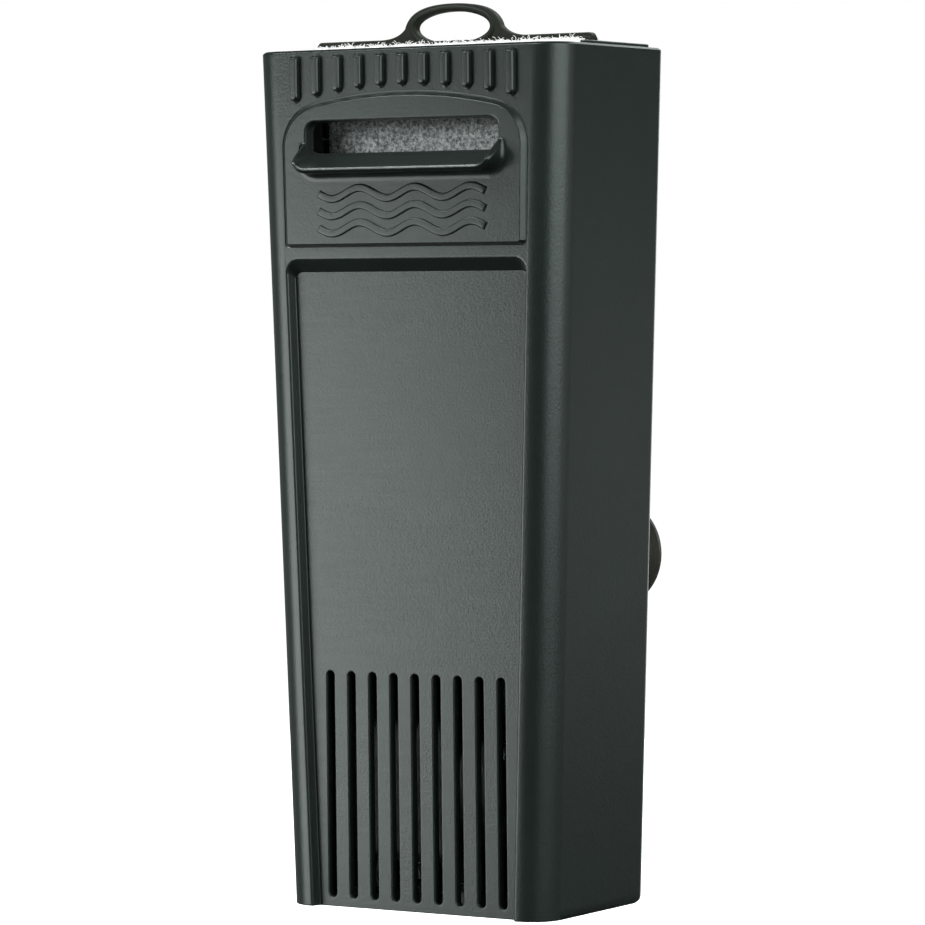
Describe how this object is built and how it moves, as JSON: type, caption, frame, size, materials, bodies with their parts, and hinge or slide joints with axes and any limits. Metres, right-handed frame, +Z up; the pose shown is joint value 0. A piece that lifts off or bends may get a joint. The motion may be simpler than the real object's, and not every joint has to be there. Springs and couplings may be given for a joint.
{
  "type": "internal aquarium power filter",
  "caption": "Tall tapered underwater filter case with slotted inlet, spout, lift-out floss cartridge, magnet-drive pump and a suction-cup bracket.",
  "frame": {"origin": "middle of the underside of the base plate that the filter stands on, half way across its width", "axes": "+Z up along the case to the finger loop, -Y out of the spout and the slots, +Y towards the tank glass, +X completes the right-handed frame"},
  "size_m": [0.0854, 0.0646, 0.2109],
  "materials": {
    "case_plastic": "satin",
    "inner_plastic": "satin",
    "floss": "soft non-woven felt",
    "carbon": "coarse foam",
    "pump_plastic": "satin",
    "ivory_plastic": "smooth",
    "core_steel": "laminated",
    "copper": "enamelled wire",
    "shaft_ceramic": "polished",
    "ferrite": "ground",
    "seal_rubber": "matt",
    "cup_rubber": "soft, slightly glossy"
  },
  "bodies": {
    "housing": {"case": "case_plastic", "outlet_seal": "seal_rubber"},
    "lid": {"top_cover": "case_plastic"},
    "media_cartridge": {"cartridge_frame": "inner_plastic", "floss_front": "floss", "floss_rear": "floss", "carbon_cell_1": "carbon", "carbon_cell_2": "carbon", "carbon_cell_3": "carbon", "carbon_cell_4": "carbon"},
    "pump_base": {"base_plate": "case_plastic", "rubber_foot_1": "seal_rubber", "rubber_foot_2": "seal_rubber", "rubber_foot_3": "seal_rubber", "rubber_foot_4": "seal_rubber", "motor_housing": "pump_plastic", "motor_cap": "inner_plastic", "stator_core": "core_steel", "coil_bobbin": "ivory_plastic", "coil_winding": "copper", "rotor_shaft": "shaft_ceramic", "shaft_bush_inner": "seal_rubber", "volute": "pump_plastic", "cord_gland": "seal_rubber"},
    "inlet_cover": {"impeller_cover": "pump_plastic", "impeller_cover_seal": "seal_rubber", "shaft_bush_outer": "seal_rubber"},
    "rotor": {"rotor_magnet": "ferrite", "impeller": "ivory_plastic"},
    "holder": {"bracket": "case_plastic", "suction_cup_left": "cup_rubber", "suction_cup_right": "cup_rubber"}
  },
  "joints": [
    {"name": "lid_lift", "type": "slide", "parent": "housing", "child": "lid", "axis": [0, 0, 1], "range_m": [0, 0.04]},
    {"name": "cartridge_lift", "type": "slide", "parent": "housing", "child": "media_cartridge", "axis": [0, 0, 1], "range_m": [0, 0.15]},
    {"name": "base_pull", "type": "slide", "parent": "housing", "child": "pump_base", "axis": [0, 0, 1], "range_m": [-0.068, 0]},
    {"name": "inlet_cover_pull", "type": "slide", "parent": "pump_base", "child": "inlet_cover", "axis": [1, 0, 0], "range_m": [0, 0.012]},
    {"name": "rotor_spin", "type": "hinge", "parent": "pump_base", "child": "rotor", "pos_m": [0, 0.002, 0.027], "axis": [1, 0, 0], "continuous": true},
    {"name": "holder_slide", "type": "slide", "parent": "housing", "child": "holder", "axis": [0, 0, 1], "range_m": [-0.045, 0]}
  ]
}
